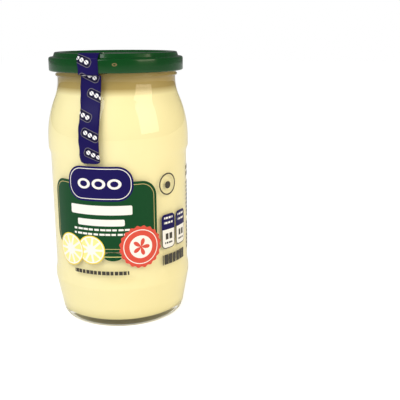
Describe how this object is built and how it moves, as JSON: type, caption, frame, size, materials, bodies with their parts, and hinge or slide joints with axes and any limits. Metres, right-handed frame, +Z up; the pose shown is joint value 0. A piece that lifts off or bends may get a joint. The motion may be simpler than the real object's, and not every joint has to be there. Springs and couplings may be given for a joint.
{
  "type": "mayonnaise jar",
  "caption": "Filled glass jar of mayonnaise with a twist-off metal lid, a printed wrap-round label and a tamper strip over the lid.",
  "frame": {"origin": "centre of the jar's base, on the surface it stands on", "axes": "+Z up along the jar's axis, towards the lid; -Y towards the front of the label; +X to the label front's right"},
  "size_m": [0.074, 0.0743, 0.1411],
  "materials": {
    "clear_glass": "clear flint glass, smooth",
    "mayonnaise": "smooth opaque cream-yellow emulsion",
    "green_lacquer": "glossy dark green lacquer on tinplate",
    "label_film": "clear film with coloured print",
    "strip_film": "printed dark blue paper film, semi-gloss"
  },
  "bodies": {
    "root": {"glass_jar": "clear_glass", "mayonnaise": "mayonnaise", "lid": "green_lacquer", "label_film": "label_film", "seal_strip": "strip_film"}
  },
  "joints": []
}
